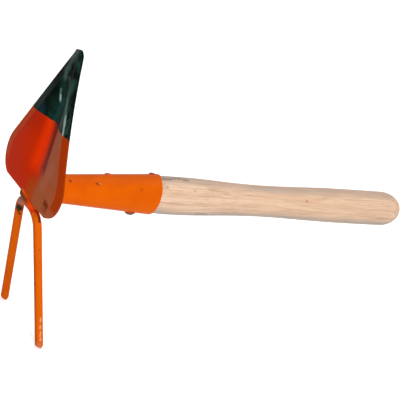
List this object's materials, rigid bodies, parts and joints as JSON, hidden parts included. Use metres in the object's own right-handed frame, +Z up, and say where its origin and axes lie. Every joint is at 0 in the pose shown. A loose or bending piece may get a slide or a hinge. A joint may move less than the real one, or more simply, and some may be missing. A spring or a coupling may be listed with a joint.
{
  "type": "double hoe",
  "caption": "Short-handled double hoe: ribbed heart-shaped blade and splayed two-tined fork welded to a tapered rolled socket on a turned wooden handle.",
  "frame": {"origin": "centre of the straight cylindrical stretch of the grip, on the handle's axis", "axes": "+X along the handle, from the head to the rounded end; +Z up, towards the blade's tip; +Y across, to the left when looking from the handle's end towards the head"},
  "size_m": [0.3927, 0.1072, 0.2508],
  "materials": {
    "blade_enamel": "gloss red-orange enamel with the tip dipped in near-black lacquer",
    "enamel": "gloss orange enamel",
    "ash": "turned and sanded, unvarnished",
    "nail_steel": "dark, as forged"
  },
  "bodies": {
    "root": {"blade": "blade_enamel", "fork": "enamel", "socket": "enamel", "seam_tack": "enamel", "blade_weld": "enamel", "crown_weld": "enamel", "handle": "ash", "top_nail": "nail_steel", "bottom_nail": "nail_steel"}
  },
  "joints": []
}
